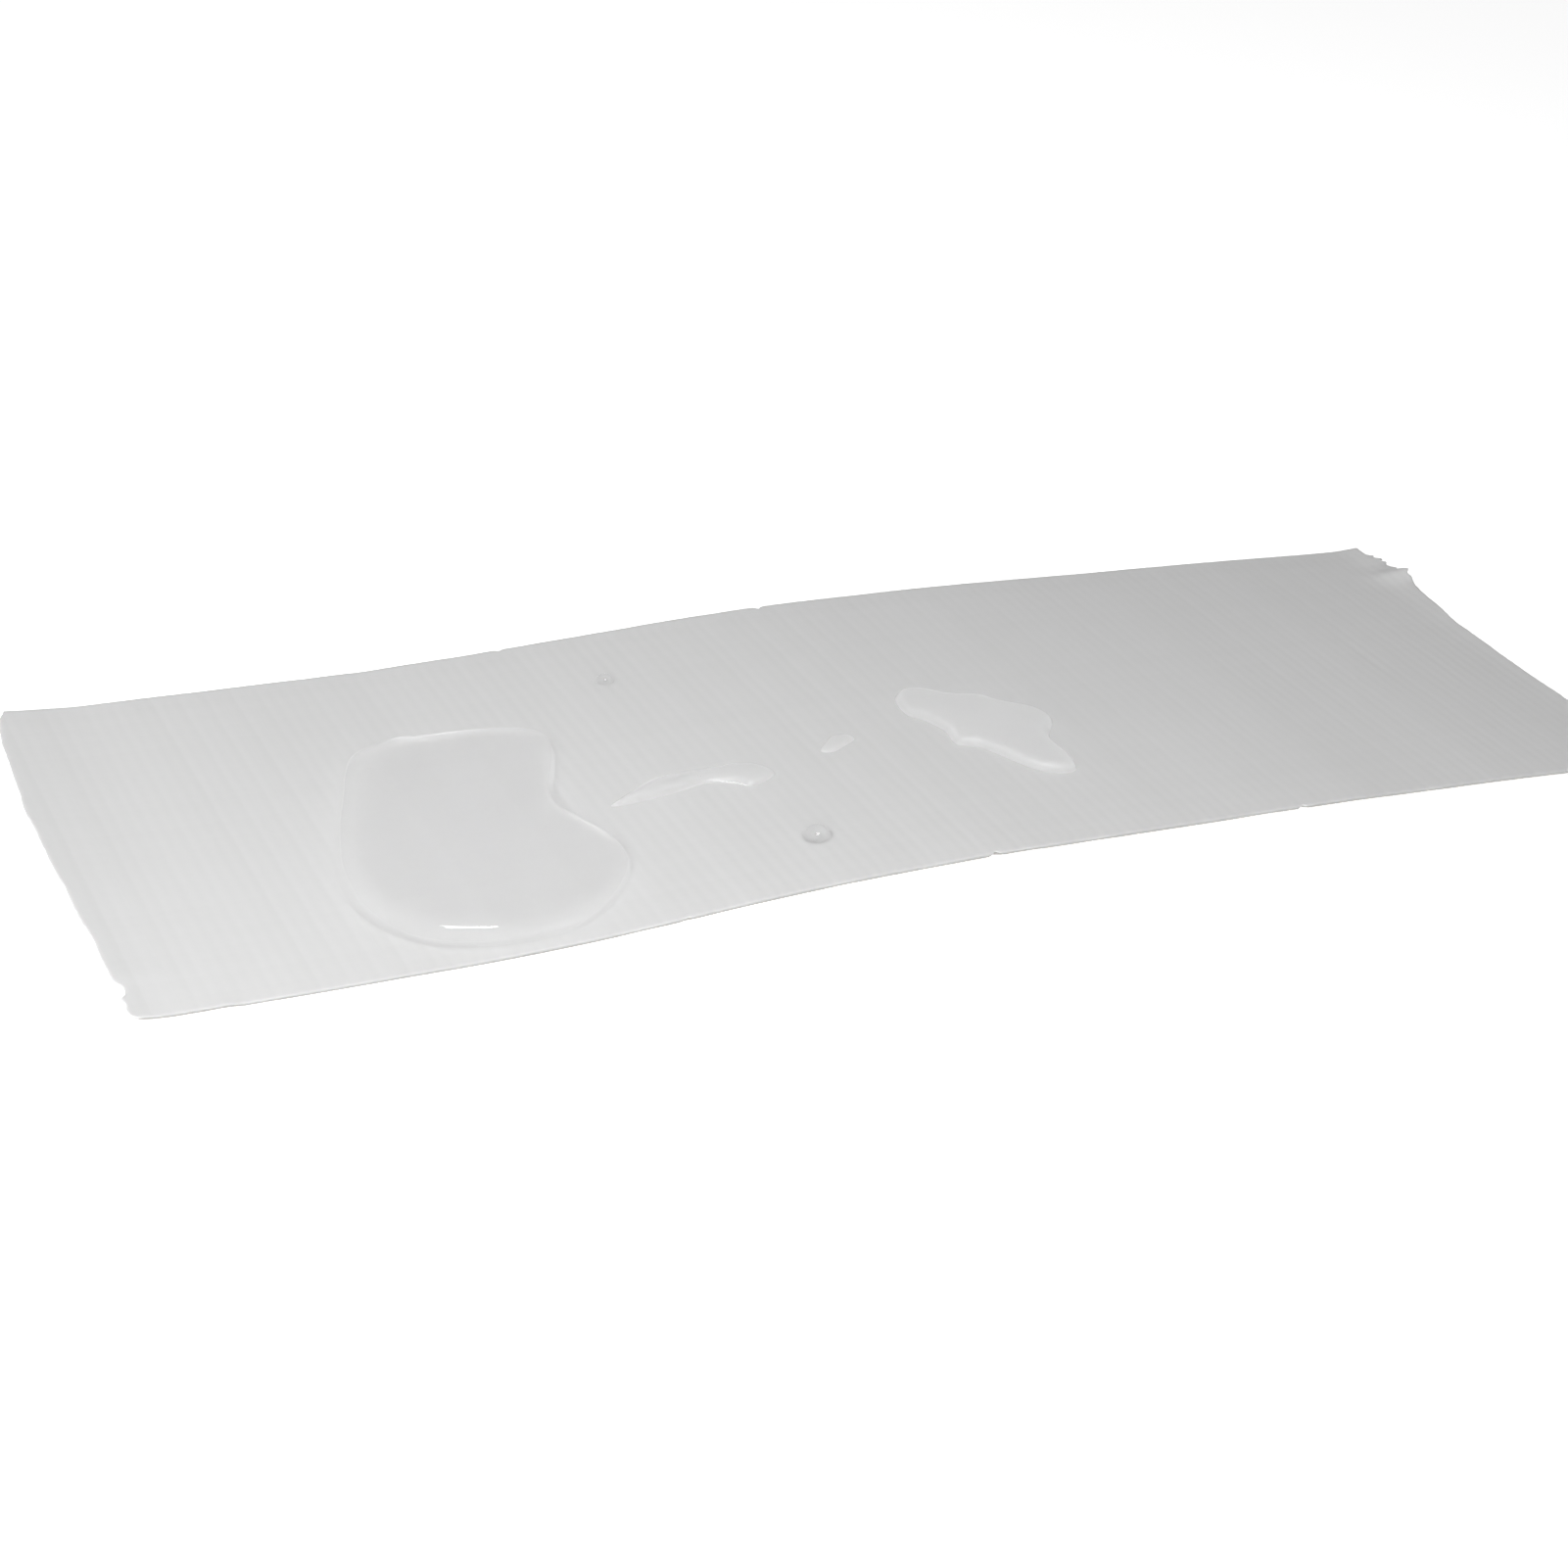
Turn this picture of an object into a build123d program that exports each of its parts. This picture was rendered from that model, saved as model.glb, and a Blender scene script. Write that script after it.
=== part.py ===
"""A hand-torn strip of white cloth tape, lying relaxed on a flat surface with water standing on it.

The tape is a laminate. From the bottom up it is a tacky adhesive layer, warp yarns that run along the
strip, weft yarns that run across it, and a waterproof film that dips between the weft yarns, so that
each one shows as a rib. Everything is in millimetres. +X runs along the strip, +Y towards its far long
edge and +Z up. The origin is on the resting plane, under the middle of the strip.
"""

from build123d import *
import math
import os
import random

# ---- The strip ----
strip_length = 152.0  # along the tape, from tear to tear
strip_width = 50.0

# ---- The plies, from the underside up ----
adhesive_thickness = 0.12
warp_thickness = 0.05
warp_width = 0.35
warp_pitch = 1.25
weft_thickness = 0.08
weft_foot = 0.62
weft_crown = 0.34
weft_pitch = 1.21
film_over_yarn = 0.07
rib_height = 0.05
rib_foot = 0.90
rib_crown = 0.36
ply_gap = 0.004  # the clearance that keeps bonded faces from crossing

# ---- How the strip lies: stretches as (share of the length, turn in degrees) ----
lifted_end = (0.095, 6.5)
rest_run = (0.066, 0.0)
rise = (0.174, 4.3)
hump_share = 0.323  # its turn is what brings the far tear back down to the table
back_slope = (0.132, 0.0)
settling_end = (0.210, -1.75)

# ---- The torn ends ----
tear_bow = 2.1  # how far the left tear bulges in the middle of the width
tear_jag = 0.14  # how far the tear runs in and out between yarns
tear_margin = 4.0  # what each ply is made longer by, before it is torn to length
fray_longest = 0.5  # how far a warp yarn sticks out of a tear at most
tear_lip = 2.0  # the tallest tooth of the right tear
# Teeth of the right tear, as (distance from the far edge, reach past the tear line).
right_teeth = ((0.0, 0.9), (1.7, 0.3), (2.3, 1.2), (3.9, 1.0), (5.2, 0.5), (5.9, 1.4), (6.6, tear_lip),
               (8.2, 0.5), (11.0, 0.4))
# The bite out of the left tear, as (distance from the near edge, depth).
left_bite = ((0.0, 1.0), (0.8, 0.7), (2.5, 0.5), (3.4, 1.0), (5.0, 1.0), (6.3, 0.5), (7.7, 0.0))

# ---- Nicks in the slit edges, as distances from the left tear ----
nick_width = 0.9
nick_depth = 0.4
near_edge_nicks = (76.2, 108.9)
far_edge_nicks = (49.6, 77.2)

# ---- The standing water. Outlines are (distance from the left tear, distance from the near edge) ----
pool_level = 2.25  # height of the flat top of the pool above the resting plane
pool_rim = 0.7
pool_outline = (
    (25.8, 26.0), (27.9, 31.6), (30.7, 33.8), (34.4, 34.5), (39.5, 34.3), (44.0, 33.6), (46.7, 31.6),
    (46.5, 28.4), (45.1, 24.8), (43.7, 21.5), (43.8, 18.6), (45.0, 15.6), (46.0, 12.4), (45.8, 9.2),
    (44.0, 6.2), (40.6, 3.9), (36.0, 2.7), (31.4, 2.8), (28.0, 4.0), (25.6, 6.6), (24.0, 10.4),
    (23.3, 15.0), (24.0, 20.0),
)
patch_height = 0.95
patch_rim = 0.45
patch_outline = (
    (80.8, 25.2), (81.6, 28.2), (84.2, 29.1), (86.8, 27.4), (89.8, 26.0), (92.5, 23.8), (94.0, 21.3),
    (92.8, 18.5), (91.9, 15.6), (91.6, 12.6), (89.6, 11.2), (87.4, 12.8), (85.8, 15.6), (84.0, 18.0),
    (82.7, 19.6), (82.6, 22.2),
)
trail_height = 0.5
trail_rim = 0.22
# The trail swells and narrows along its run: (distance from the left tear, from the near edge, radius).
trail_swells = ((47.9, 19.3, 0.5), (52.4, 20.5, 1.3), (60.5, 19.8, 1.6))
fleck_at = (71.9, 22.1)
fleck_half_size = (1.9, 0.8)
fleck_turn = 25.0
fleck_height = 0.45
fleck_rim = 0.2
bead_front_at = (62.5, 7.6)
bead_front_size = (2.7, 1.15)  # across and high
bead_back_at = (56.6, 9.6)  # measured from the far edge
bead_back_size = (1.85, 0.8)

# ---- Worked out from the above ----
near_edge = -strip_width / 2
far_edge = strip_width / 2
warp_bottom = adhesive_thickness + ply_gap
weft_bottom = warp_bottom + warp_thickness + ply_gap
weft_top = weft_bottom + weft_thickness
film_over_weft = weft_top + ply_gap
rib_top = film_over_weft + film_over_yarn
film_valley = rib_top - rib_height
water_bottom = rib_top + ply_gap
clear_height = 12.0  # taller than anything on the tape


def stretches(hump_turn):
    """The stretches of the underside's line as (start, length, curvature, x, z, heading)."""
    shares = (lifted_end, rest_run, rise, (hump_share, hump_turn), back_slope, settling_end)
    made = []
    start, x, z = 0.0, 0.0, 0.0
    heading = -math.radians(lifted_end[1])
    for share, turn in shares:
        length = share * strip_length
        curvature = math.radians(turn) / length
        made.append((start, length, curvature, x, z, heading))
        x, z, heading = along(made[-1], length)
        start += length
    resting = made[1][4]  # the flat run is what lies on the table
    return [(s, length, c, x, z - resting, h) for s, length, c, x, z, h in made]


def along(stretch, run):
    """The point and heading a run further along a stretch."""
    _, _, curvature, x, z, heading = stretch
    turned = heading + curvature * run
    if curvature == 0:
        return x + run * math.cos(heading), z + run * math.sin(heading), heading
    dx = (math.sin(turned) - math.sin(heading)) / curvature
    dz = (math.cos(heading) - math.cos(turned)) / curvature
    return x + dx, z + dz, turned


def landing_turn():
    """The turn of the hump, in degrees, that sets the tip of the far tear down on the table."""
    low, high = -20.0, 0.0
    for _ in range(60):
        middle = (low + high) / 2
        if along(stretches(middle)[-1], settling_end[0] * strip_length + tear_lip)[1] > 0:
            high = middle
        else:
            low = middle
    return middle


rest_line = stretches(landing_turn())
tape_middle = (strip_length + tear_lip - fray_longest) / 2


def on_tape(s, n=0.0):
    """(x, z) of the point at s along the strip and n above its underside, in the part's frame."""
    stretch = [item for item in rest_line if item[0] <= s or item is rest_line[0]][-1]
    x, z, heading = along(stretch, s - stretch[0])
    x_middle = along(rest_line[3], tape_middle - rest_line[3][0])[0]
    return x - x_middle - n * math.sin(heading), z + n * math.cos(heading)


def heading_at(s):
    """How steeply the strip climbs at s, in degrees."""
    stretch = [item for item in rest_line if item[0] <= s or item is rest_line[0]][-1]
    return math.degrees(along(stretch, s - stretch[0])[2])


def in_section(point):
    """An (x, z) pair as a point of the strip's long section."""
    return (point[0], 0, point[1])


def offset_edges(n, first, last):
    """The line n above the underside, from first to last, as arcs and straight runs."""
    breaks = [first] + [item[0] for item in rest_line[1:] if first < item[0] < last] + [last]
    edges = []
    for a, b in zip(breaks, breaks[1:]):
        ends = [in_section(on_tape(s, n)) for s in (a, b)]
        bent = abs(heading_at(a) - heading_at((a + b) / 2)) > 1e-6
        if bent:
            edges.append(ThreePointArc(ends[0], in_section(on_tape((a + b) / 2, n)), ends[1]))
        else:
            edges.append(Line(*ends))
    return edges


def band(low, high, first, last, near, far):
    """A ply: the space between two heights above the underside, from first to last and near to far."""
    lower = offset_edges(low, first, last)
    upper = offset_edges(high, first, last)
    left = Line(lower[0] @ 0, upper[0] @ 0)
    right = Line(lower[-1] @ 1, upper[-1] @ 1)
    section = make_face(Wire(lower + upper + [left, right]))
    return across(section, near, far)


def across(section, near, far):
    """A long section made into a solid that runs from y = near to y = far."""
    return Pos(0, near, 0) * extrude(section, amount=far - near, dir=(0, 1, 0))


def tooth_at(teeth, distance):
    """The height of a broken line of teeth at a distance from the edge it is measured from."""
    for (d0, h0), (d1, h1) in zip(teeth, teeth[1:]):
        if d0 <= distance <= d1:
            return h0 + (h1 - h0) * (distance - d0) / (d1 - d0)
    return 0.0


def left_tear(y):
    """How far the left tear is inside the strip's left end at y."""
    bow = tear_bow * (max(y, 0.0) / far_edge) ** 2
    return bow + tooth_at(left_bite, y - near_edge)


def right_tear(y):
    """How far the right tear reaches past the strip's right end at y."""
    return tooth_at(right_teeth, far_edge - y)


def tear_line(tear, seed):
    """A torn end as (offset, y) from the near edge to the far edge, in and out from yarn to yarn."""
    ragged = random.Random(seed)
    steps = round(strip_width / (warp_pitch / 2))
    line = []
    for i in range(steps + 1):
        y = near_edge + strip_width * i / steps
        jag = ragged.uniform(0.5, 1.0) * tear_jag * (-1) ** i
        line.append((tear(y) + jag, y))
    return line


def nick(s, edge, inwards):
    """The three points of a nick in a slit edge."""
    return [
        (on_tape(s - nick_width / 2)[0], edge),
        (on_tape(s)[0], edge + inwards * nick_depth),
        (on_tape(s + nick_width / 2)[0], edge),
    ]


def plan():
    """The outline of the torn strip seen from above, as a tall prism."""
    left_x = on_tape(0)[0]
    right_x = on_tape(strip_length)[0]
    right = [(right_x + reach, y) for reach, y in tear_line(right_tear, 5)]
    left = [(left_x + depth, y) for depth, y in tear_line(left_tear, 2)]
    near = [p for s in near_edge_nicks if s < strip_length - nick_width for p in nick(s, near_edge, 1)]
    far = [p for s in far_edge_nicks if s < strip_length - nick_width for p in nick(s, far_edge, -1)]
    outline = near + right + far[::-1] + left[::-1]
    face = make_face(Polyline(*[(x, y, -1) for x, y in outline], close=True))
    return extrude(face, amount=clear_height, dir=(0, 0, 1))


def adhesive_layer(outline):
    """The tacky layer on the underside."""
    whole = band(0, adhesive_thickness, -tear_margin, strip_length + tear_margin, near_edge, far_edge)
    return whole & outline


def warp_yarns():
    """The yarns along the strip, each torn a little past the film."""
    fray = random.Random(11)
    count = int((strip_width - warp_width) // warp_pitch) + 1
    first = -(count - 1) * warp_pitch / 2
    yarns = []
    for i in range(count):
        y = first + i * warp_pitch
        start = left_tear(y) - fray.uniform(0, fray_longest)
        end = strip_length + right_tear(y) + fray.uniform(-tear_jag, fray_longest - tear_jag)
        end = min(end, strip_length + tear_lip)
        yarns.append(band(warp_bottom, warp_bottom + warp_thickness, start, end,
                          y - warp_width / 2, y + warp_width / 2))
    return Compound(children=yarns)


def weft_places():
    """Where the weft yarns cross the strip, past both tears."""
    first = -math.floor(tear_margin / weft_pitch)
    last = math.ceil((strip_length + tear_margin) / weft_pitch)
    return [(i + 0.5) * weft_pitch for i in range(first, last)]


def weft_section(s):
    """The section of one flattened weft yarn."""
    corners = (
        (s - weft_foot / 2, weft_bottom), (s + weft_foot / 2, weft_bottom),
        (s + weft_crown / 2, weft_top), (s - weft_crown / 2, weft_top),
    )
    return make_face(Polyline(*[in_section(on_tape(a, n)) for a, n in corners], close=True))


def weft_yarns(outline):
    """The yarns across the strip, slit with its edges and broken where the tears cross them."""
    yarns = []
    for s in weft_places():
        yarn = across(weft_section(s), near_edge, far_edge)
        left_reach = s - weft_foot
        right_reach = s + weft_foot
        if right_reach < 0 or left_reach > strip_length + tear_lip:
            continue
        yarns += [piece for piece in (yarn & outline).solids() if piece.volume > weft_foot * weft_thickness]
    return Compound(children=yarns)


def face_film(outline):
    """The waterproof film: ribbed on top, and grooved underneath for each weft yarn."""
    top, under = [], []
    for s in weft_places():
        top += [(s - rib_foot / 2, film_valley), (s - rib_crown / 2, rib_top),
                (s + rib_crown / 2, rib_top), (s + rib_foot / 2, film_valley)]
        foot = weft_foot / 2 + 2 * ply_gap
        crown = weft_crown / 2 + 2 * ply_gap
        under += [(s - foot, weft_bottom), (s - crown, film_over_weft),
                  (s + crown, film_over_weft), (s + foot, weft_bottom)]
    corners = [in_section(on_tape(s, n)) for s, n in top + under[::-1]]
    section = make_face(Polyline(*corners, close=True))
    return across(section, near_edge, far_edge) & outline


def free_outline(outline, middle):
    """A free outline of water as a face, with s = middle at x = 0."""
    return make_face(Spline(*[(s - middle, near_edge + y, 0) for s, y in outline], periodic=True))


def middle_of(outline):
    """Half-way along an outline."""
    along_tape = [point[0] for point in outline]
    return (min(along_tape) + max(along_tape)) / 2


def lying_at(s, reach):
    """The placing of a thing that lies flat on the film at s, and reaches this far to each side of s. Where
    the film climbs above it on the way, it is lifted clear."""
    x, z = on_tape(s, water_bottom)
    heading = math.radians(heading_at(s))
    ends = [on_tape(end, water_bottom) for end in (s - reach, s + reach)]
    lift = max(0.0, *[(end_z - z) * math.cos(heading) - (end_x - x) * math.sin(heading) for end_x, end_z in ends])
    return Pos(x, 0, z) * Rot(0, -heading_at(s), 0) * Pos(0, 0, lift)


def thin_water(footprint, s, height, rim):
    """A thin piece of water with a round rim, lying on the film at s."""
    sheet = extrude(footprint, amount=height, dir=(0, 0, 1))
    reach = sheet.bounding_box().size.X / 2
    return lying_at(s, reach) * fillet(sheet.faces().sort_by(Axis.Z)[-1].edges(), rim)


def water_pool():
    """The large pool, dead level on top, in the dip where the tape lies on the table."""
    middle = middle_of(pool_outline)
    footprint = Pos(on_tape(middle)[0], 0, 0) * free_outline(pool_outline, middle)
    column = extrude(footprint, amount=pool_level, dir=(0, 0, 1))
    first = min(s for s, _ in pool_outline) - tear_margin
    last = max(s for s, _ in pool_outline) + tear_margin
    pool = column & band(water_bottom, clear_height, first, last, near_edge, far_edge)
    return fillet(pool.faces().sort_by(Axis.Z)[-1].edges(), pool_rim)


def water_patch():
    """The thin patch on the crest of the hump."""
    middle = middle_of(patch_outline)
    return thin_water(free_outline(patch_outline, middle), middle, patch_height, patch_rim)


def water_trail():
    """The narrow trail with a drop at its head, which runs from the pool towards the patch."""
    middle = middle_of(trail_swells)
    swells = [Pos(s - middle, near_edge + y, 0) * Circle(radius) for s, y, radius in trail_swells]
    stretches_of_trail = [make_hull(a.edges() + b.edges()) for a, b in zip(swells, swells[1:])]
    return thin_water(Sketch() + stretches_of_trail, middle, trail_height, trail_rim)


def water_fleck():
    """The small oval fleck between the trail and the patch."""
    oval = Pos(0, near_edge + fleck_at[1], 0) * Rot(0, 0, fleck_turn) * Ellipse(*fleck_half_size)
    return thin_water(oval, fleck_at[0], fleck_height, fleck_rim)


def water_bead(s, y, across_bead, high):
    """A round bead: the cap of a ball, standing square to the tape."""
    radius = ((across_bead / 2) ** 2 + high**2) / (2 * high)
    cap = Pos(0, 0, high - radius) * Sphere(radius)
    above = Box(4 * radius, 4 * radius, 4 * radius, align=(Align.CENTER, Align.CENTER, Align.MIN))
    return lying_at(s, across_bead / 2) * Pos(0, y, 0) * (cap & above)


def nodes():
    """Every node by name."""
    outline = plan()
    made = {
        "adhesive_layer": adhesive_layer(outline),
        "warp_yarns": warp_yarns(),
        "weft_yarns": weft_yarns(outline),
        "face_film": face_film(outline),
        "water_pool": water_pool(),
        "water_patch": water_patch(),
        "water_trail": water_trail(),
        "water_fleck": water_fleck(),
        "water_bead_front": water_bead(bead_front_at[0], near_edge + bead_front_at[1], *bead_front_size),
        "water_bead_back": water_bead(bead_back_at[0], far_edge - bead_back_at[1], *bead_back_size),
    }
    return made


def main():
    os.makedirs("parts", exist_ok=True)
    for name, shape in nodes().items():
        export_step(shape, f"parts/{name}.step")
    rest_middle = (lifted_end[0] + rest_run[0] / 2) * strip_length
    print("middle of the flat run, mm:", [round(v, 4) for v in on_tape(rest_middle)])
    print("turn of the hump, degrees:", round(landing_turn(), 3))


main()
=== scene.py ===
"""The looks of a hand-torn strip of white cloth tape, lying relaxed with clear water standing on it.

The tape is laid up here as it is made: adhesive, warp yarns, weft yarns and a thin film that shows each weft
yarn as a rib. A place on the tape is (s, y, n): s along it from the left tear, y across it and n up from its
underside. The line that it lies along is read from the weft yarns in model.glb. Lengths are in metres.
"""

import math
import random

import bpy
import numpy as np
from mathutils import Matrix, Vector


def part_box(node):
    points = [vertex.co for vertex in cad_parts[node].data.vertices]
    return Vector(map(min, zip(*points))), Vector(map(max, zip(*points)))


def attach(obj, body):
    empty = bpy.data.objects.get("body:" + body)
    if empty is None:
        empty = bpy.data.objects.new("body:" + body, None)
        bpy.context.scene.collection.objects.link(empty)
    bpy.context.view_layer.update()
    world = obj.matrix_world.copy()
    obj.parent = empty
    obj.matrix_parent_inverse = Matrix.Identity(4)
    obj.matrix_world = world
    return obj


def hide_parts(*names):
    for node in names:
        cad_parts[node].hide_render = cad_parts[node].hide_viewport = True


MM = 0.001

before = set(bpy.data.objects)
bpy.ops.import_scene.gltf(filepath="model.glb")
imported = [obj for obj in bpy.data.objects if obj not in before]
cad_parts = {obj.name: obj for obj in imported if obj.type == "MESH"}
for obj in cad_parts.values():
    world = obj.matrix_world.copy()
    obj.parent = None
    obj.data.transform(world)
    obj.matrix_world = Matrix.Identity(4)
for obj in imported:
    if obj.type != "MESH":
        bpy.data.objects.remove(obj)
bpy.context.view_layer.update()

# ---- The strip ----
LENGTH = 152.0 * MM
HALF_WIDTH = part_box("face_film")[1].y
NEAR, FAR = -HALF_WIDTH, HALF_WIDTH
WEFT_PITCH = 1.21 * MM
WARP_PITCH = 1.25 * MM

# ---- The plies, as heights above the underside ----
ADHESIVE_TOP = 0.12 * MM
WARP_MIDDLE = 0.149 * MM
WEFT_MIDDLE = 0.218 * MM
WEFT_TOP = 0.258 * MM
FILM_CROWN = 0.332 * MM
FILM_THICKNESS = 0.07 * MM
RIB_RELIEF = 0.014 * MM

# ---- The torn ends, in millimetres ----
# How far the right tear reaches past the strip's length, as (distance from the far edge, reach).
RIGHT_TEAR = ((0.0, 0.1), (0.5, 0.0), (1.4, 0.0), (1.9, 0.1), (2.3, 0.9), (2.7, 0.5), (3.1, 1.4),
              (3.5, 0.8), (3.9, 1.5), (4.4, 0.7), (4.9, 1.05), (5.5, 1.5), (6.0, 0.95), (6.6, 1.4),
              (7.1, 1.75), (7.4, 1.5), (7.7, 1.15), (8.0, 1.1), (8.4, 1.3), (9.0, 1.05), (9.6, 0.82),
              (10.5, 0.65), (11.5, 0.42), (13.0, 0.24), (15.0, 0.1), (17.0, -0.26), (18.8, -0.5),
              (22.5, -0.42), (27.0, -0.5), (31.0, -0.48), (35.0, -0.33), (43.0, -0.3), (47.0, 0.0),
              (50.0, 0.3))
# How far the left tear is inside the strip's end, as (distance from the near edge, depth).
LEFT_TEAR = ((0.0, 1.25), (0.3, 0.85), (0.8, 0.62), (1.4, 0.74), (2.0, 0.84), (2.6, 0.66), (2.9, 0.72),
             (3.3, 1.12), (3.9, 1.3), (4.5, 1.22), (4.9, 0.85), (5.2, 0.72), (8.0, 0.69), (9.6, 0.67),
             (11.3, 0.78), (13.0, 0.65), (15.0, 0.49), (19.5, 0.55), (21.5, 0.41), (25.3, 0.39),
             (29.2, 0.43), (31.3, 0.33), (33.3, 0.41), (35.3, 0.64), (37.4, 0.72), (39.5, 0.9),
             (41.6, 1.03), (43.8, 1.16), (45.9, 1.45), (47.1, 1.68), (48.4, 1.95), (49.4, 2.4), (50.0, 2.7))

# ---- How the edges ride up and down on the lie, in millimetres: (distance from the left tear, lift) ----
NEAR_LIFT = ((0, -0.33), (3, -0.38), (6, -0.22), (9, -0.1), (13, -0.08), (17, -0.1), (21, 0.0), (30, 0.0),
             (42, 0.06), (48, 0.17), (57, 0.19), (64, 0.1), (70, -0.02), (77, -0.05), (84, -0.2),
             (92, -0.28), (99, -0.3), (105, -0.18), (111, -0.1), (116, -0.05), (122, -0.13), (134, -0.1),
             (152, 0.0))
FAR_LIFT = ((0, -0.15), (6, -0.18), (15, -0.2), (30, -0.22), (40, -0.27), (48, -0.35), (58, -0.45),
            (70, -0.4), (80, -0.32), (90, -0.37), (110, -0.38), (121, -0.36), (134, -0.3), (141, -0.22),
            (147, -0.12), (149.5, -0.02), (152, 0.26), (155, 0.4))

# ---- The crimp at the right tear and the crease before it, in millimetres ----
CRIMP_STARTS, CRIMP_RUN = 145.5, 7.5
CRIMP_RIDGE, CRIMP_DIP = 42.9, 45.6  # distances from the near edge
CREASE_AT, CREASE_MIDDLE = 135.4, 26.5

# ---- The rolled edges of the film ----
SLIT_ROLL, SLIT_ROLL_WIDE = 0.045 * MM, 0.12 * MM
TEAR_ROLL, TEAR_ROLL_WIDE = 0.04 * MM, 0.15 * MM

# ---- Nicks in the slit edges: (s, y side, depth) in millimetres ----
NICKS = ((49.6, 1, 0.30), (77.2, 1, 0.45), (76.2, -1, 0.50), (108.9, -1, 0.35), (46.9, -1, 0.20))

# ---- The water: outlines are (s, distance from the near edge) in millimetres ----
POOL = ((25.6, 26.4), (26.8, 29.6), (28.2, 32.3), (29.6, 33.4), (31.4, 34.3), (33.9, 34.9), (37.1, 34.6),
        (40.6, 34.5), (43.8, 34.0), (46.3, 32.9), (47.3, 31.1), (46.9, 28.6), (45.4, 25.2), (43.9, 21.9),
        (43.7, 19.2), (44.8, 16.5), (45.9, 13.7), (46.2, 10.7), (45.4, 8.2), (43.6, 5.8), (41.2, 3.5),
        (38.2, 1.8), (35.0, 1.3), (32.0, 1.4), (29.6, 1.8), (26.9, 2.7), (24.9, 4.0), (23.3, 5.7),
        (22.1, 8.3), (21.6, 11.2), (21.9, 15.4), (23.0, 19.5), (24.2, 23.0))
PATCH = ((81.2, 28.0), (82.6, 29.4), (84.6, 29.0), (86.6, 27.4), (89.4, 26.5), (90.8, 24.9), (92.8, 23.5),
         (93.9, 22.2), (94.1, 20.4), (92.7, 18.6), (91.8, 16.6), (91.9, 14.0), (91.4, 11.6), (89.7, 11.2),
         (87.8, 12.2), (86.5, 14.0), (85.5, 15.9), (84.4, 17.6), (82.6, 18.7), (82.8, 21.2), (82.0, 23.4),
         (80.8, 25.2))
TRAIL = ((48.1, 18.9), (50.4, 20.4), (53.3, 21.8), (56.7, 22.0), (59.4, 21.7), (61.0, 21.8), (63.1, 21.0),
         (64.1, 19.1), (62.6, 17.9), (61.0, 17.6), (59.8, 18.8), (57.4, 19.4), (54.4, 18.9), (51.0, 18.6))
FLECK = ((69.8, 21.2), (71.0, 22.6), (72.2, 23.5), (73.5, 23.4), (73.9, 22.3), (72.2, 21.3), (70.8, 20.7))
BEAD_FRONT = (62.5, 7.6, 2.7, 1.15)
BEAD_BACK = (56.6, 40.4, 1.85, 0.8)


def between(pairs, at):
    """The broken line through (place, value) pairs, read at these places."""
    places, values = zip(*pairs)
    return np.interp(at, places, values)


def smooth_noise(s, y, seed, longest, count=7):
    """A smooth wander between about -1 and 1, made of waves that cross the tape at odd angles."""
    dice = random.Random(seed)
    total = np.zeros(np.broadcast(s, y).shape)
    for _ in range(count):
        wave = longest * dice.uniform(0.45, 1.0)
        turn = dice.uniform(0, math.pi)
        phase = dice.uniform(0, 2 * math.pi)
        total = total + np.sin(2 * math.pi * (s * math.cos(turn) + y * math.sin(turn)) / wave + phase)
    return total / math.sqrt(count)


# ---- The line that the tape lies along ----
def crown_line():
    """The crowns of the weft yarns as arrays of s, x, z and heading, read from the yarns' near ends."""
    near = NEAR + 0.05 * MM
    cut = [v.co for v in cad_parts["weft_yarns"].data.vertices if v.co.y < near]
    corners = sorted({(round(c.x, 8), round(c.z, 8)) for c in cut})
    yarns = [[corners[0]]]
    for corner in corners[1:]:
        if corner[0] - yarns[-1][-1][0] > 0.4 * WEFT_PITCH:
            yarns.append([])
        yarns[-1].append(corner)
    whole = [yarn for yarn in yarns if len(yarn) == 4]
    x = np.array([(yarn[1][0] + yarn[2][0]) / 2 for yarn in whole])
    z = np.array([(yarn[1][1] + yarn[2][1]) / 2 for yarn in whole])
    run = np.concatenate(([0], np.cumsum(np.hypot(np.diff(x), np.diff(z)))))
    yarns_before = round((x[0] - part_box("face_film")[0].x) / WEFT_PITCH - 0.5)
    s = (yarns_before + 0.5) * WEFT_PITCH + run
    heading = np.gradient(z, x)
    return s, x, z, np.arctan(heading)


def lengthened(line, margin):
    """The line carried straight on past both ends."""
    s, x, z, heading = line
    ends = []
    for i, way in ((0, -1), (-1, 1)):
        step = way * margin
        ahead, above = step * math.cos(heading[i]), step * math.sin(heading[i])
        ends.append((s[i] + step, x[i] + ahead, z[i] + above, heading[i]))
    return [np.concatenate(([a], values, [b])) for a, values, b in zip(ends[0], line, ends[1])]


LINE = lengthened(crown_line(), 6 * MM)


def hill(s, y, at, size, height):
    """A smooth bump in millimetres, at (s, distance from the near edge), with its half widths."""
    ds = (s / MM - at[0]) / size[0]
    dy = ((y - NEAR) / MM - at[1]) / size[1]
    return height * MM * np.exp(-(ds**2) - dy**2)


def flowing(pairs, at):
    """A smooth line through (place, value) pairs, read at these places."""
    places, values = (np.array(v, float) for v in zip(*pairs))
    at = np.clip(at, places[0], places[-1])
    i = np.clip(np.searchsorted(places, at) - 1, 0, len(places) - 2)
    slopes = np.gradient(values, places)
    run = places[i + 1] - places[i]
    t = (at - places[i]) / run
    return ((2 * t**3 - 3 * t**2 + 1) * values[i] + (t**3 - 2 * t**2 + t) * run * slopes[i]
            + (3 * t**2 - 2 * t**3) * values[i + 1] + (t**3 - t**2) * run * slopes[i + 1])


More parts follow.
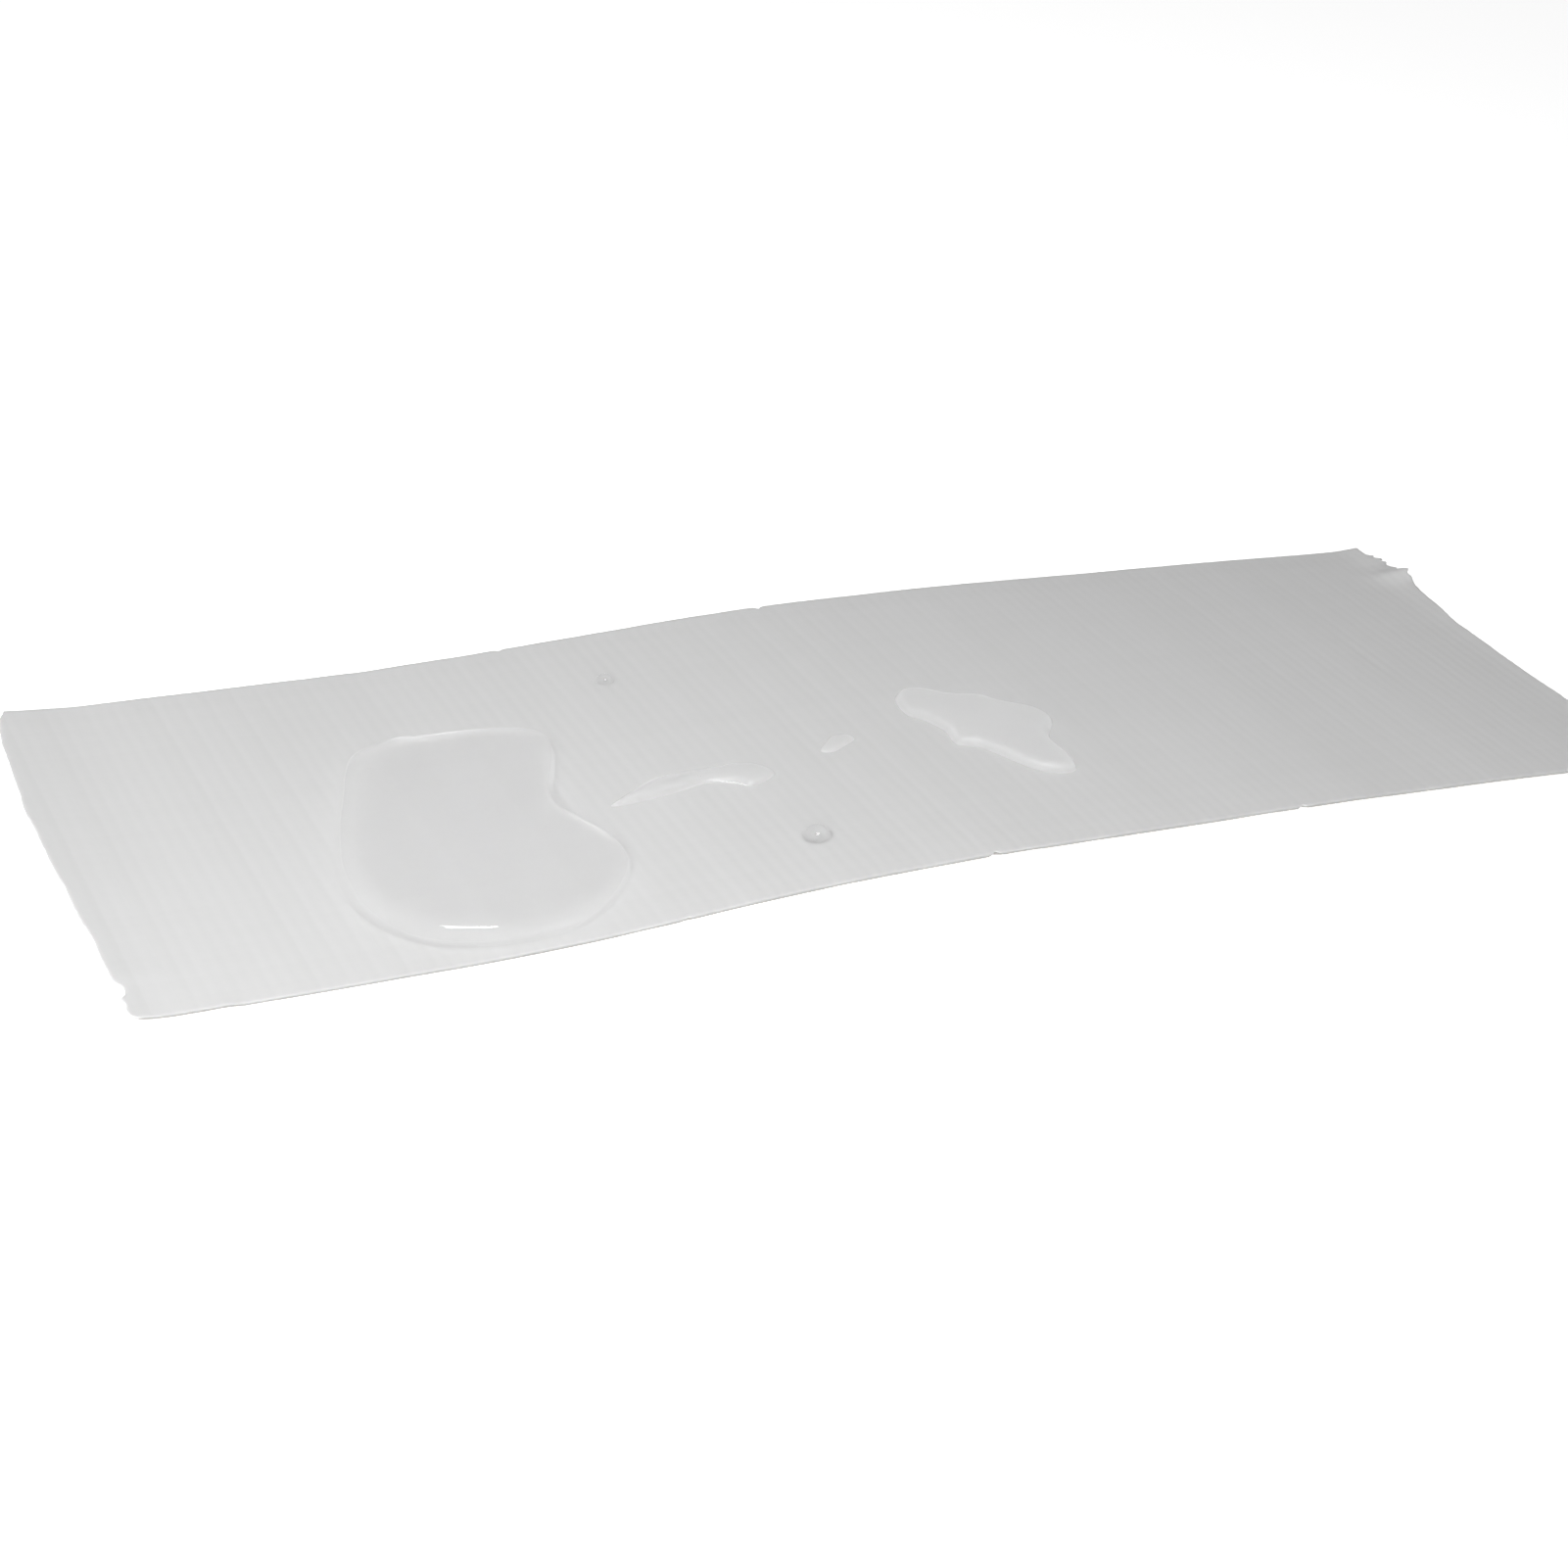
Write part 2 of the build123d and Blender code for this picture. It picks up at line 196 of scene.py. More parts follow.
def lift(s, y):
    """How far the whole laminate stands off the line that it lies along."""
    mm_s = s / MM
    share = (y - NEAR) / (FAR - NEAR)
    from_near = (y - NEAR) / MM
    total = flowing(NEAR_LIFT, mm_s) * (1 - share) + flowing(FAR_LIFT, mm_s) * share
    total = total * MM + 0.035 * MM * (1 + smooth_noise(s, y, 3, 55 * MM))
    total = total + hill(s, y, (10.4, -0.4), (1.6, 1.6), -0.16)  # a soft dent in the near edge
    total = total + hill(s, y, (8.3, -0.4), (1.3, 1.3), 0.08)
    total = total + hill(s, y, (3.0, 6.2), (2.6, 1.8), 0.07)
    ridge = np.clip((mm_s - CRIMP_STARTS) / CRIMP_RUN, 0, 1.1) ** 1.8
    slope = np.where(from_near < CRIMP_RIDGE, 1.7, 0.95)
    total = total + 0.5 * MM * ridge * np.exp(-(((from_near - CRIMP_RIDGE) / slope) ** 2))
    total = total - 0.1 * MM * ridge * np.exp(-(((from_near - CRIMP_DIP) / 1.2) ** 2))
    along_crease = np.exp(-(((from_near - CREASE_MIDDLE) / 4.4) ** 4))
    crease_at = CREASE_AT - 0.012 * (from_near - 25.0) ** 2
    total = total - 0.03 * MM * along_crease * np.exp(-(((mm_s - crease_at) / 0.55) ** 2))
    clear = np.interp(s, LINE[0], LINE[2]) - WEFT_TOP
    return np.maximum(total, -0.97 * clear)


def place(s, y, n):
    """The points at s along the tape, y across it and n above its underside."""
    s, y, n = np.broadcast_arrays(np.asarray(s, float), np.asarray(y, float), np.asarray(n, float))
    along, line_x, line_z, line_heading = LINE
    heading = np.interp(s, along, line_heading)
    up = n - WEFT_TOP + lift(s, y)
    x = np.interp(s, along, line_x) - up * np.sin(heading)
    z = np.interp(s, along, line_z) + up * np.cos(heading)
    return np.stack([x, y, z], axis=-1)


# ---- The tears and the edges ----
def left_tear(y):
    """Where the film is torn at the left end."""
    return (between(LEFT_TEAR, (y - NEAR) / MM) + 0.06 * teeth(y, 5)) * MM


def right_tear(y):
    """Where the film is torn at the right end."""
    from_far = (FAR - y) / MM
    rough = np.where(from_far < 7, 0.2, 0.06)
    return LENGTH + (between(RIGHT_TEAR, from_far) + rough * teeth(y, 8)) * MM


def teeth(y, seed):
    """The small teeth that a tear leaves, one to each warp yarn, from -1 to 1 and never quite alike."""
    yarn = y / WARP_PITCH
    dice = np.random.default_rng(seed)
    heights = dice.uniform(-1, 1, 200)
    whole = np.floor(yarn * 2).astype(int)
    share = yarn * 2 - whole
    here, there = heights[whole + 100], heights[whole + 101]
    zigzag = np.where(whole % 2 == 0, share, 1 - share) - 0.5
    return 0.5 * (here + (there - here) * share) + 0.8 * zigzag


def edge_at(s, side):
    """Where the slit edge is at s: straight but for its nicks and a faint wander."""
    mm_s = s / MM
    cut = 0.03 * smooth_noise(s, 0 * s, 20 + side, 9 * MM)
    for at, nick_side, depth in NICKS:
        if nick_side == side:
            cut = cut + depth * np.exp(-np.abs((mm_s - at) / 0.28) ** 1.5)
    return side * (HALF_WIDTH - np.maximum(cut, 0) * MM)


# ---- Outlines ----
def closed_curve(points, count):
    """A smooth closed line through given points."""
    points = np.asarray(points, float)
    size = len(points)
    t = np.linspace(0, size, count, endpoint=False)
    i = np.floor(t).astype(int)
    f = (t - i)[:, None]
    p0, p1, p2, p3 = (points[(i + k) % size] for k in (-1, 0, 1, 2))
    return 0.5 * (2 * p1 + (p2 - p0) * f + (2 * p0 - 5 * p1 + 4 * p2 - p3) * f**2
                  + (3 * p1 - p0 - 3 * p2 + p3) * f**3)


def distance_to(outline, points):
    """How far each point is from a closed outline."""
    a, b = outline, np.roll(outline, -1, axis=0)
    run = b - a
    nearest = np.full(len(points), np.inf)
    for start, step in zip(a, run):
        t = np.clip(((points - start) @ step) / (step @ step), 0, 1)
        nearest = np.minimum(nearest, np.linalg.norm(points - start - t[:, None] * step, axis=1))
    return nearest


def depth_inside(outline, points):
    """How far inside an outline each point is, without the ridges that the plain distance has half-way."""
    total = np.zeros(len(points))
    for a, b in zip(outline, np.roll(outline, -1, axis=0)):
        run = np.linalg.norm(b - a)
        way = (b - a) / run
        start = (points - a) @ way
        aside = (points - a) @ np.array([-way[1], way[0]])
        aside_squared = np.maximum(aside**2, 1e-14)
        reach = [u / np.sqrt(aside_squared + u**2) for u in (start, start - run)]
        total += (reach[0] - reach[1]) / aside_squared
    return (total / 2) ** -0.5


def is_inside(outline, points):
    """Which points are inside a closed outline."""
    inside = np.zeros(len(points), bool)
    for a, b in zip(outline, np.roll(outline, -1, axis=0)):
        spans = (a[1] > points[:, 1]) != (b[1] > points[:, 1])
        step = b[1] - a[1] if b[1] != a[1] else 1.0
        crossing = a[0] + (points[:, 1] - a[1]) / step * (b[0] - a[0])
        inside ^= spans & (points[:, 0] < crossing)
    return inside


# ---- Meshes ----
def deselect_all():
    """Clears the selection, so that an operator acts only on the piece that it is meant for."""
    for o in bpy.context.selected_objects:
        o.select_set(False)


def mesh_piece(name, points, faces, material, uv=None):
    """A finished piece from points and faces, with its place in its mesh, riding on the part's one body."""
    data = bpy.data.meshes.new(name)
    data.from_pydata(points.tolist(), [], faces)
    data.update()
    if uv is not None:
        layer = data.uv_layers.new(name="tape")
        corners = np.empty(len(data.loops), dtype=np.int32)
        data.loops.foreach_get("vertex_index", corners)
        layer.data.foreach_set("uv", np.asarray(uv, np.float32)[corners].ravel())
    data.materials.append(material)
    piece = bpy.data.objects.new(name, data)
    bpy.context.scene.collection.objects.link(piece)
    data.shade_smooth()
    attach(piece, "root")
    return piece


def stitch(columns, starts):
    """Triangles between neighbouring columns of points, which may differ in how many points they have."""
    faces = []
    for (left, right), (a0, b0) in zip(zip(columns, columns[1:]), zip(starts, starts[1:])):
        if len(left) == len(right):
            faces += [(a0 + j, b0 + j, b0 + j + 1, a0 + j + 1) for j in range(len(left) - 1)]
            continue
        i = j = 0
        while i < len(left) - 1 or j < len(right) - 1:
            left_next = left[i + 1] if i < len(left) - 1 else math.inf
            right_next = right[j + 1] if j < len(right) - 1 else math.inf
            if left_next < right_next:
                faces.append((a0 + i, b0 + j, a0 + i + 1))
                i += 1
            else:
                faces.append((a0 + i, b0 + j, b0 + j + 1))
                j += 1
    return faces


def shell(name, stations, rows_at, top, bottom, back, material):
    """A thin closed sheet of the tape. stations are its places along the tape, and rows_at gives the shares
    across it at each. It is set back from the tears by back, and from the slit edges by a third of that."""
    shares = [rows_at(s) for s in stations]
    starts = np.concatenate(([0], np.cumsum([len(r) for r in shares])))
    total = starts[-1]
    s = np.concatenate([np.full(len(r), at) for at, r in zip(stations, shares)])
    share = np.concatenate(shares)
    y = NEAR + share * 2 * HALF_WIDTH
    tear_left = left_tear(y) + back
    tear_right = right_tear(y) - back
    left_zone, right_zone = stations[0] + END_ZONE, stations[-1] - END_ZONE
    from_left = (left_zone - s) / (left_zone - stations[0])
    from_right = (s - right_zone) / (stations[-1] - right_zone)
    s = np.where(s < left_zone, left_zone - from_left * (left_zone - tear_left), s)
    s = np.where(s > right_zone, right_zone + from_right * (tear_right - right_zone), s)
    near, far = edge_at(s, -1) + back / 3, edge_at(s, 1) - back / 3
    pull = np.exp(-share * 60), np.exp(-(1 - share) * 60)
    y = y + (near - NEAR) * pull[0] + (far - FAR) * pull[1]
    above = place(s, y, top(s, y))
    below = place(s, y, bottom(s, y))
    points = np.concatenate([above, below])
    over = stitch(shares, starts[:-1])
    under = [tuple(total + i for i in reversed(face)) for face in over]
    last = [starts[i + 1] - 1 for i in range(len(stations))]
    first = [starts[i] for i in range(len(stations))]
    rim = (first + list(range(starts[-2] + 1, starts[-1]))
           + last[-2::-1] + list(range(starts[1] - 2, 0, -1)))
    walls = [(rim[i - 1], total + rim[i - 1], total + rim[i], rim[i]) for i in range(len(rim))]
    uv = np.stack([s, y], axis=1) / (100 * MM)
    return mesh_piece(name, points, over + under + walls, material, np.concatenate([uv, uv]))


END_ZONE = 4.8 * MM
SAMPLES_PER_RIB = 7


def rib_stations():
    """Places along the tape that take in each rib's crown, flanks and foot."""
    first, last = 0, round(LENGTH / WEFT_PITCH) + 1
    steps = range(-(SAMPLES_PER_RIB // 2), SAMPLES_PER_RIB // 2 + 1)
    return [(i + 0.5 + j / SAMPLES_PER_RIB) * WEFT_PITCH for i in range(first, last) for j in steps]


def across(count):
    """Shares of the width, closer together at both edges."""
    edge = np.array([0, 0.0018, 0.0055, 0.012])
    return np.concatenate([edge, np.linspace(0.026, 0.974, count), 1 - edge[::-1]])


BODY_ROWS = across(33)
TORN_ROWS = across(190)


def film_rows(s):
    """More rows where the film is torn."""
    torn = s < END_ZONE or s > LENGTH - END_ZONE
    return TORN_ROWS if torn else BODY_ROWS


def rib_profile(s, y):
    """How high the film stands on its ribs: 1 on a crown and 0 in a valley, no two ribs quite alike."""
    rib = s / WEFT_PITCH
    wave = 0.5 - 0.5 * np.cos(2 * math.pi * rib)
    index = np.clip(np.floor(rib).astype(int) + 10, 0, 199)
    heights = np.random.default_rng(12).uniform(0.72, 1.0, 200)
    return wave**0.85 * heights[index] * (0.92 + 0.08 * smooth_noise(s, y, 31, 14 * MM, 5))


def under_water(s, y):
    """1 where the film is well under the pool, the patch or the trail, so that its ribs don't show, and 0 on
    dry film."""
    wet = np.zeros(np.shape(s))
    points = np.stack([s, y], axis=-1)
    for outline in (POOL, PATCH, TRAIL):
        line = closed_curve([(a * MM, NEAR + b * MM) for a, b in outline], 90)
        share = np.clip(distance_to(line, points) / (0.5 * MM), 0, 1)
        wet = np.maximum(wet, np.where(is_inside(line, points), share, 0))
    return wet


def film_top(s, y):
    """The film's upper face."""
    rise = RIB_RELIEF * rib_profile(s, y) * (1 - 0.9 * under_water(s, y))
    over_warp = 0.0015 * MM * np.cos(2 * math.pi * y / WARP_PITCH)
    from_slit = np.minimum(y - edge_at(s, -1), edge_at(s, 1) - y)
    from_tear = np.minimum(s - left_tear(y), right_tear(y) - s)
    rolled = SLIT_ROLL * np.exp(-np.maximum(from_slit, 0) / SLIT_ROLL_WIDE)
    rolled = np.maximum(rolled, TEAR_ROLL * np.exp(-np.maximum(from_tear, 0) / TEAR_ROLL_WIDE))
    return FILM_CROWN - RIB_RELIEF + rise + over_warp - rolled


def film_under(s, y):
    """The film's lower face, which follows its ribs."""
    return film_top(s, y) - FILM_THICKNESS


# ---- Materials ----
def group(name, inputs, outputs):
    """An empty shader node group with named sockets, and its input and output nodes."""
    tree = bpy.data.node_groups.new(name, "ShaderNodeTree")
    for label, kind, value in inputs:
        socket = tree.interface.new_socket(label, in_out="INPUT", socket_type=kind)
        if value is not None:
            socket.default_value = value
    for label, kind in outputs:
        tree.interface.new_socket(label, in_out="OUTPUT", socket_type=kind)
    return tree, tree.nodes.new("NodeGroupInput"), tree.nodes.new("NodeGroupOutput")


def node(tree, kind, links=(), **values):
    """A node with its settings, and links as (input, output socket) pairs."""
    made = tree.nodes.new(kind)
    for key, value in values.items():
        setattr(made, key, value)
    for key, source in links:
        if isinstance(source, bpy.types.NodeSocket):
            tree.links.new(source, made.inputs[key])
        else:
            made.inputs[key].default_value = source
    return made


def math_node(tree, operation, *sources):
    """The value of one sum."""
    return node(tree, "ShaderNodeMath", list(enumerate(sources)), operation=operation).outputs[0]


def mottle_group():
    """Soft uneven patches, from 0 to 1, at two scales."""
    inputs = [("Vector", "NodeSocketVector", None), ("Scale", "NodeSocketFloat", 10.0),
              ("Contrast", "NodeSocketFloat", 1.0)]
    tree, inside, out = group("Mottle", inputs, [("Mask", "NodeSocketFloat")])
    vector, scale = inside.outputs["Vector"], inside.outputs["Scale"]
    broad = node(tree, "ShaderNodeTexNoise",
                 [("Vector", vector), ("Scale", scale), ("Detail", 3.0), ("Roughness", 0.55)])
    fine_scale = math_node(tree, "MULTIPLY", scale, 9.0)
    fine = node(tree, "ShaderNodeTexNoise",
                [("Vector", vector), ("Scale", fine_scale), ("Detail", 2.0), ("Roughness", 0.6)])
    both = math_node(tree, "ADD", math_node(tree, "MULTIPLY", broad.outputs["Fac"], 0.7),
                     math_node(tree, "MULTIPLY", fine.outputs["Fac"], 0.3))
    spread = math_node(tree, "MULTIPLY", math_node(tree, "SUBTRACT", both, 0.5), inside.outputs["Contrast"])
    mask = node(tree, "ShaderNodeClamp", [("Value", math_node(tree, "ADD", spread, 0.5))])
    tree.links.new(mask.outputs[0], out.inputs["Mask"])
    return tree


def weave_group():
    """The weave as it shows through a film: how high each place stands, and how each yarn tints it. Vector
    is in tenths of a metre along and across the tape."""
    inputs = [("Vector", "NodeSocketVector", None), ("Weft pitch", "NodeSocketFloat", WEFT_PITCH / MM),
              ("Warp pitch", "NodeSocketFloat", WARP_PITCH / MM)]
    tree, inside, out = group("Weave", inputs, [("Height", "NodeSocketFloat"), ("Tint", "NodeSocketFloat")])
    parts = node(tree, "ShaderNodeSeparateXYZ", [(0, inside.outputs["Vector"])])
    along = math_node(tree, "MULTIPLY", parts.outputs["X"], 100.0)
    beside = math_node(tree, "MULTIPLY", parts.outputs["Y"], 100.0)
    weft = math_node(tree, "DIVIDE", along, inside.outputs["Weft pitch"])
    warp = math_node(tree, "DIVIDE", beside, inside.outputs["Warp pitch"])
    turns = [math_node(tree, "COSINE", math_node(tree, "MULTIPLY", v, 2 * math.pi)) for v in (weft, warp)]
    crossing = math_node(tree, "MULTIPLY", turns[0], turns[1])
    ridge = math_node(tree, "MULTIPLY_ADD", turns[1], 0.35, math_node(tree, "MULTIPLY", crossing, 0.25))
    rib = math_node(tree, "FLOOR", weft)
    rib_number = node(tree, "ShaderNodeTexWhiteNoise", [("W", rib)], noise_dimensions="1D")
    yarn = math_node(tree, "FLOOR", math_node(tree, "ADD", warp, 0.5))
    warp_number = node(tree, "ShaderNodeTexWhiteNoise", [("W", yarn)], noise_dimensions="1D")
    tint = math_node(tree, "MULTIPLY_ADD", warp_number.outputs["Value"], 0.3,
                     math_node(tree, "MULTIPLY", rib_number.outputs["Value"], 0.7))
    tree.links.new(ridge, out.inputs["Height"])
    tree.links.new(tint, out.inputs["Tint"])
    return tree


def slit_shade_group():
    """1 on the cut skin of the two slit edges, which is darkened there as painted shade, and 0 on the tape
    between them. Vector is in tenths of a metre along and across the tape."""
    inputs = [("Vector", "NodeSocketVector", None), ("Half width", "NodeSocketFloat", 25.0),
              ("Shade width", "NodeSocketFloat", 0.12)]
    tree, inside, out = group("Slit edge", inputs, [("Mask", "NodeSocketFloat")])
    parts = node(tree, "ShaderNodeSeparateXYZ", [(0, inside.outputs["Vector"])])
    from_middle = math_node(tree, "MULTIPLY", math_node(tree, "ABSOLUTE", parts.outputs["Y"]), 100.0)
    left_over = math_node(tree, "SUBTRACT", inside.outputs["Half width"], from_middle)
    share = math_node(tree, "DIVIDE", left_over, inside.outputs["Shade width"])
    mask = node(tree, "ShaderNodeClamp", [("Value", math_node(tree, "SUBTRACT", 1.0, share))])
    tree.links.new(mask.outputs[0], out.inputs["Mask"])
    return tree


def twist_group():
    """The slanting fibres of a twisted yarn, from 0 to 1. Vector is in tenths of a metre along the yarn and
    in turns round it."""
    inputs = [("Vector", "NodeSocketVector", None), ("Turns", "NodeSocketFloat", 120.0)]
    tree, inside, out = group("Twist", inputs, [("Mask", "NodeSocketFloat")])
    parts = node(tree, "ShaderNodeSeparateXYZ", [(0, inside.outputs["Vector"])])
    slanted = math_node(tree, "ADD", math_node(tree, "MULTIPLY", parts.outputs["X"], inside.outputs["Turns"]),
                        math_node(tree, "MULTIPLY", parts.outputs["Y"], 6.0))
    wave = math_node(tree, "SINE", math_node(tree, "MULTIPLY", slanted, 2 * math.pi))
    tree.links.new(math_node(tree, "MULTIPLY_ADD", wave, 0.5, 0.5), out.inputs["Mask"])
    return tree


def use(tree, made_group, **sources):
    """A group placed in a material, with its own values."""
    made = tree.nodes.new("ShaderNodeGroup")
    made.node_tree = made_group
    for key, source in sources.items():
        label = key.replace("_", " ")
        if isinstance(source, bpy.types.NodeSocket):
            tree.links.new(source, made.inputs[label])
        else:
            made.inputs[label].default_value = source
    return made


def new_material(name, **values):
    """A material with a Principled shader set to these values. Returns the material, its tree and shader."""
    material = bpy.data.materials.new(name)
    material.use_nodes = True
    tree = material.node_tree
    shader = tree.nodes["Principled BSDF"]
    for key, value in values.items():
        shader.inputs[key.replace("_", " ")].default_value = value
    return material, tree, shader


def ramp(tree, mask, dark, light):
    """A mask turned into a colour between two."""
    made = node(tree, "ShaderNodeMix", [(0, mask)], data_type="RGBA")
    made.inputs["A"].default_value = (*dark, 1)
    made.inputs["B"].default_value = (*light, 1)
    return made.outputs["Result"]


def span(tree, mask, low, high):
    """A mask turned into a number between two."""
    return math_node(tree, "MULTIPLY_ADD", mask, high - low, low)


def bump(tree, shader, height, distance, strength=1.0):
    """A fine relief on the shader's normal."""
    made = node(tree, "ShaderNodeBump", [("Height", height), ("Distance", distance), ("Strength", strength)])
    tree.links.new(made.outputs["Normal"], shader.inputs["Normal"])


MOTTLE, WEAVE, SLIT_SHADE, TWIST = mottle_group(), weave_group(), slit_shade_group(), twist_group()


def film_material():
    """White polyethylene film, satin, with the weave showing through it, faint scuffs from handling, and
    painted shade darkening its slit edges.
    """
    material, tree, shader = new_material("white_film", IOR=1.5, Specular_IOR_Level=0.42)
    uv = node(tree, "ShaderNodeUVMap", uv_map="tape").outputs["UV"]
    weave = use(tree, WEAVE, Vector=uv)
    patches = use(tree, MOTTLE, Vector=uv, Scale=3.2, Contrast=1.3)
    grain = use(tree, MOTTLE, Vector=uv, Scale=160.0, Contrast=1.6)
    tone = math_node(tree, "ADD", math_node(tree, "MULTIPLY", patches.outputs["Mask"], 0.45),
                     math_node(tree, "ADD", math_node(tree, "MULTIPLY", weave.outputs["Tint"], 0.35),
                               math_node(tree, "MULTIPLY", grain.outputs["Mask"], 0.2)))
    # The slit edges are darkened towards grey: painted shade along the tape's edges.
    painted_edge_shade = math_node(tree, "MULTIPLY", use(tree, SLIT_SHADE, Vector=uv).outputs["Mask"], 0.5)
    clean = ramp(tree, tone, (0.67, 0.67, 0.668), (0.72, 0.72, 0.722))
    both = node(tree, "ShaderNodeMix", [(0, painted_edge_shade)], data_type="RGBA")
    tree.links.new(clean, both.inputs["A"])
    # The grey of the painted shade along the slit edges.
    both.inputs["B"].default_value = (0.3, 0.3, 0.3, 1)
    tree.links.new(both.outputs["Result"], shader.inputs["Base Color"])
    tree.links.new(span(tree, grain.outputs["Mask"], 0.34, 0.5), shader.inputs["Roughness"])
    fine_grain = math_node(tree, "MULTIPLY", grain.outputs["Mask"], 0.5)
    relief = math_node(tree, "ADD", weave.outputs["Height"], fine_grain)
    bump(tree, shader, relief, 0.006 * MM, 0.7)
    return material


def adhesive_material():
    """Off-white rubber adhesive, tacky and slightly pebbled, coloured a darker grey as painted shade along
    the tape's edges.
    """
    material, tree, shader = new_material("adhesive", IOR=1.5, Coat_Weight=0.25, Coat_Roughness=0.2)
    uv = node(tree, "ShaderNodeUVMap", uv_map="tape").outputs["UV"]
    patches = use(tree, MOTTLE, Vector=uv, Scale=14.0, Contrast=1.8)
    pebbles = use(tree, MOTTLE, Vector=uv, Scale=90.0, Contrast=2.0)
    # These greys are darker than the adhesive's own off-white: painted shade for the line along the tape's
    # edges.
    tree.links.new(ramp(tree, patches.outputs["Mask"], (0.35, 0.345, 0.33), (0.47, 0.46, 0.44)),
                   shader.inputs["Base Color"])
    tree.links.new(span(tree, pebbles.outputs["Mask"], 0.3, 0.55), shader.inputs["Roughness"])
    bump(tree, shader, pebbles.outputs["Mask"], 0.02 * MM)
    return material


def yarn_material():
    """Twisted white polyester and cotton fibres."""
    material, tree, shader = new_material("yarn", IOR=1.45, Sheen_Weight=0.3, Sheen_Roughness=0.5)
    uv = node(tree, "ShaderNodeUVMap", uv_map="tape").outputs["UV"]
    fibres = use(tree, TWIST, Vector=uv)
    patches = use(tree, MOTTLE, Vector=uv, Scale=30.0, Contrast=1.5)
    tone = math_node(tree, "MULTIPLY", fibres.outputs["Mask"], patches.outputs["Mask"])
    tree.links.new(ramp(tree, tone, (0.62, 0.61, 0.585), (0.83, 0.825, 0.81)), shader.inputs["Base Color"])
    tree.links.new(span(tree, patches.outputs["Mask"], 0.75, 0.95), shader.inputs["Roughness"])
    bump(tree, shader, fibres.outputs["Mask"], 0.012 * MM)
    return material


def water_material(name, passes, haze_from, haze_to):
    """Clear water. A share of the lamps' light passes straight through it to the film below."""
    material, tree, shader = new_material(name, IOR=1.33, Transmission_Weight=1.0, Roughness=0.0,
                                          Base_Color=(0.975, 0.975, 0.975, 1))
    coordinates = node(tree, "ShaderNodeTexCoord").outputs["Object"]
    haze = use(tree, MOTTLE, Vector=coordinates, Scale=260.0, Contrast=1.6)
    tree.links.new(span(tree, haze.outputs["Mask"], haze_from, haze_to), shader.inputs["Roughness"])
    path = node(tree, "ShaderNodeLightPath")
    clear = node(tree, "ShaderNodeBsdfTransparent", [("Color", (passes, passes, passes, 1))])
    mix = node(tree, "ShaderNodeMixShader", [(0, path.outputs["Is Shadow Ray"]), (1, shader.outputs[0]),
                                             (2, clear.outputs[0])])
    tree.links.new(mix.outputs[0], tree.nodes["Material Output"].inputs["Surface"])
    return material


FILM, ADHESIVE, YARN = film_material(), adhesive_material(), yarn_material()
POOL_WATER = water_material("pool_water", 0.91, 0.0, 0.012)
THIN_WATER = water_material("thin_water", 0.82, 0.3, 0.42)
BEAD_WATER = water_material("bead_water", 0.4, 0.0, 0.012)


# ---- The plies ----
def make_film():
    """The ribbed film, torn at both ends."""
    piece = shell("tape_film", rib_stations(), film_rows, film_top, film_under, 0.0, FILM)
    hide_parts("face_film")
    return piece


def make_adhesive():
    """The adhesive layer, a little uneven underneath and drawn back from the tears."""
    stations = np.linspace(0.5 * WEFT_PITCH, LENGTH, 254)
    rows = across(30)

    def top(s, y):
        return np.full(np.shape(s), ADHESIVE_TOP)

    def under(s, y):
        return 0.006 * MM * (1 + smooth_noise(s, y, 40, 3 * MM, 9) / 2)

    piece = shell("adhesive_coat", stations, lambda s: rows, top, under, 0.3 * MM, ADHESIVE)
    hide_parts("adhesive_layer")
    return piece


def tube(path, sides, half_width, half_height, taper=1.0):
    """Points and faces of a flat closed tube along a path of (s, y, n) rows."""
    path = np.asarray(path, float)
    count = len(path)
    steps = np.gradient(path, axis=0)
    level = np.hypot(steps[:, 0], steps[:, 1])
    sideways = np.stack([-steps[:, 1] / level, steps[:, 0] / level], axis=1)
    angle = np.arange(sides) * 2 * math.pi / sides
    size = np.interp(np.arange(count), [0, 1, count - 2, count - 1], [taper, 1, 1, taper])
    wide = size[:, None] * half_width * np.cos(angle)[None, :]
    high = size[:, None] * half_height * np.sin(angle)[None, :]
    s = path[:, :1] + sideways[:, :1] * wide
    y = path[:, 1:2] + sideways[:, 1:] * wide
    points = place(s, y, path[:, 2:] + high).reshape(-1, 3)
    faces = []
    for i in range(count - 1):
        for j in range(sides):
            k = (j + 1) % sides
            faces.append((i * sides + j, (i + 1) * sides + j, (i + 1) * sides + k, i * sides + k))
    faces.append(tuple(range(sides)))
    faces.append(tuple((count - 1) * sides + j for j in reversed(range(sides))))
    run = np.repeat(np.concatenate(([0], np.cumsum(np.linalg.norm(np.diff(path, axis=0), axis=1)))), sides)
    uv = np.stack([run / (100 * MM), np.tile(angle / (2 * math.pi), count)], axis=1)
    return points, faces, uv


def bundle(name, tubes, material):
    """Many tubes as one piece."""
    points, faces, uvs, start = [], [], [], 0
    for tube_points, tube_faces, uv in tubes:
        points.append(tube_points)
        faces += [tuple(i + start for i in face) for face in tube_faces]
        uvs.append(uv)
        start += len(tube_points)
    return mesh_piece(name, np.concatenate(points), faces, material, np.concatenate(uvs))


